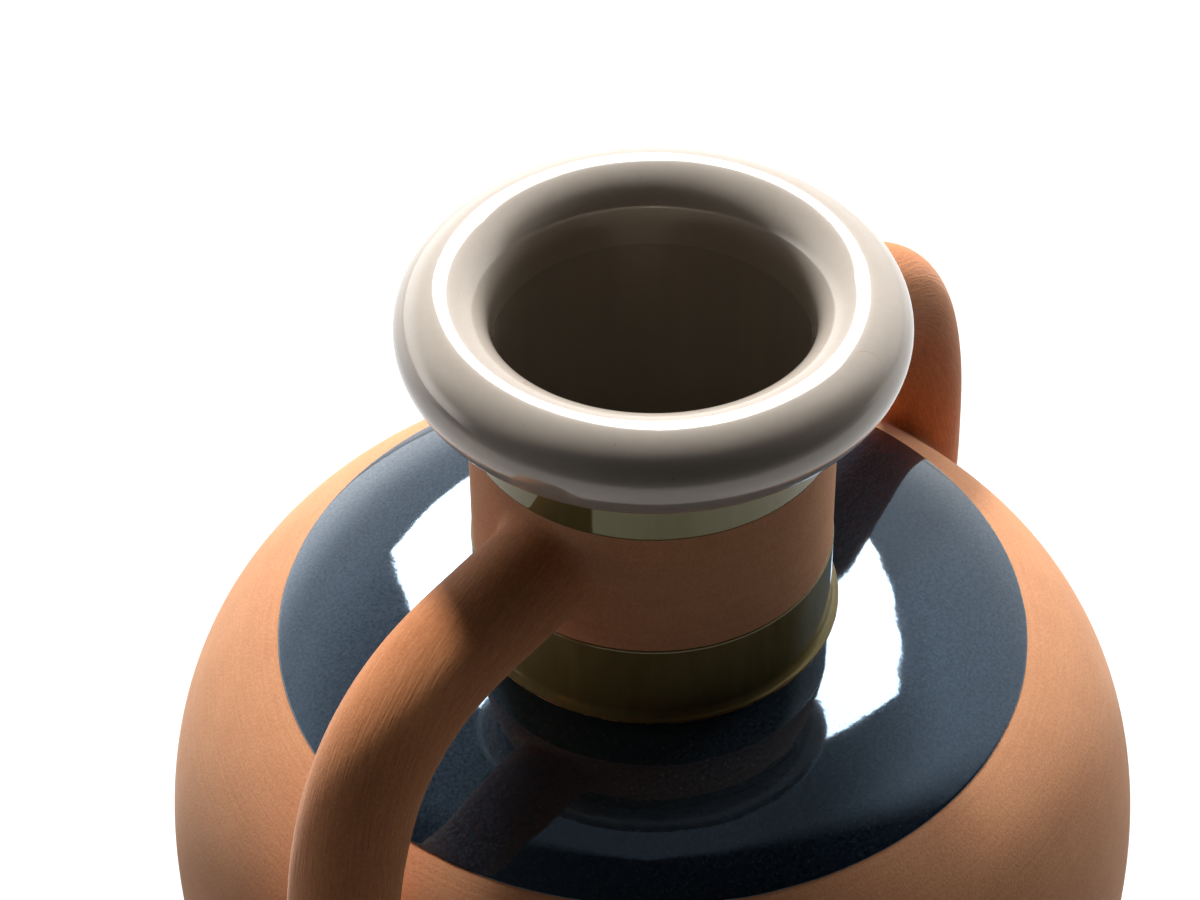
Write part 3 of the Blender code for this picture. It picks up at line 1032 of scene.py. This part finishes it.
# To glossy rays the floor is white and glowing close to the vase and behind it, and fades to grey farther
# out in front. This is a painted pool of light that stands in for lamplight on the floor near the vase.
# Camera rays see the floor white, and bounce rays see it grey.
behind = along(place, away)
painted_light_pool = (1.0 - reach.ease(FLOOR_NEAR, FLOOR_FAR)) + behind.ease(BEHIND_FROM, BEHIND_TO)
seen = (in_sight + mirrored * painted_light_pool).ease(0.0, 1.0)
feed(shader, "Base Color", seen.blend(opaque((FLOOR_BOUNCE,) * 3), opaque((FLOOR_WHITE,) * 3)))
shader.inputs["Roughness"].default_value = 0.9
shader.inputs["Specular IOR Level"].default_value = 0.1
white = wire.node("ShaderNodeEmission", {}, {"Color": opaque((1.0, 1.0, 1.0)), "Strength": 1.0})
lit = Wire(floor_material.node_tree, shader.outputs[0])
paper_mix = wire.node("ShaderNodeMixShader", {}, {0: seen * FLOOR_GLOW, 1: lit, 2: white})
output = floor_material.node_tree.nodes["Material Output"]
floor_material.node_tree.links.new(paper_mix.socket, output.inputs["Surface"])
floor.data.materials.append(floor_material)

world = bpy.data.worlds.new("studio_cove")
bpy.context.scene.world = world
world.use_nodes = True
wire = Wire(world.node_tree)
sight = wire.node("ShaderNodeTexCoord", {}, {}, "Generated")
behind = along(sight, away)
left = along(sight, -rightward)
lift = wire.node("ShaderNodeSeparateXYZ", {}, {0: sight}, "Z")
level = wire.maths("POWER", 1.0 - lift * lift, 0.5)
turn = wire.maths("DIVIDE", behind, level)
overhead = (lift + RIGHT_RISE * wire.maths("MINIMUM", left, 0.0)).ease(0.48, 0.82)
upper = COVE_TONE * (1.0 - overhead) + OVERHEAD_TONE * overhead
horizon = HORIZON_TONE * (1.0 - lift.ease(0.10, 0.45)) * (0.25 + left.ease(-0.1, 0.5))
flank = (1.0 - turn.ease(0.20, 0.50)) * turn.ease(-0.30, 0.05)
flank = flank * left.ease(0.2, 0.6) * (1.0 - lift.ease(0.05, 0.35))
cove = FRONT_TONE * left.ease(-0.3, 0.5) + (upper + horizon) * turn.ease(0.05, 0.50) + FLANK_TONE * flank
in_sight = wire.node("ShaderNodeLightPath", {}, {}, "Is Camera Ray")
strength = cove + in_sight * (1.0 - cove)
background = world.node_tree.nodes["Background"]
background.inputs["Color"].default_value = opaque((1.0, 1.0, 1.0))
world.node_tree.links.new(strength.socket, background.inputs["Strength"])


def hung_lamp(name, turn, lift, lean, length, width, radiance, distance=LAMP_DISTANCE):
    """A rectangular lamp in the direction turn and lift from the shoulder, facing it."""
    lamp = bpy.data.lights.new(name, "AREA")
    lamp.shape = "RECTANGLE"
    lamp.size = length
    lamp.size_y = width
    lamp.energy = radiance * math.pi * length * width
    level_way = away * math.cos(turn) + rightward * math.sin(turn)
    way = level_way * math.cos(lift) + Vector((0.0, 0.0, math.sin(lift)))
    hung = bpy.data.objects.new(name, lamp)
    bpy.context.scene.collection.objects.link(hung)
    facing = way.to_track_quat("Z", "Y").to_matrix().to_4x4() @ Matrix.Rotation(lean, 4, "Z")
    hung.matrix_world = Matrix.Translation(lit_place + way * distance) @ facing
    hung.visible_camera = False
    return hung


soft_box_hang = (BOX_TURN, BOX_LIFT, BOX_LEAN, BOX_LENGTH, BOX_WIDTH)
soft_box = hung_lamp("soft_box", *soft_box_hang, BOX_RADIANCE)
soft_box.visible_glossy = False
glare = hung_lamp("soft_box_glare", *soft_box_hang, BOX_GLARE, GLARE_DISTANCE)
glare.visible_diffuse = False
key = hung_lamp("key_lamp", KEY_TURN, KEY_LIFT, 0.0, KEY_SIZE, KEY_SIZE, KEY_RADIANCE)
key.visible_glossy = False
fill = hung_lamp("fill_lamp", FILL_TURN, FILL_LIFT, 0.0, FILL_SIZE, FILL_SIZE, FILL_RADIANCE)
fill.visible_glossy = False

lens = bpy.data.cameras.new("camera")
lens.lens = CAMERA_LENS
lens.sensor_width = SENSOR_WIDTH
camera = bpy.data.objects.new("camera", lens)
bpy.context.scene.collection.objects.link(camera)
aim = Euler((math.pi / 2 - CAMERA_TILT, 0.0, CAMERA_HEADING)).to_matrix().to_4x4()
camera.matrix_world = Matrix.Translation(CAMERA_PLACE) @ aim @ Matrix.Rotation(CAMERA_ROLL, 4, "Z")
bpy.context.scene.camera = camera
bpy.context.scene.view_settings.view_transform = "Standard"
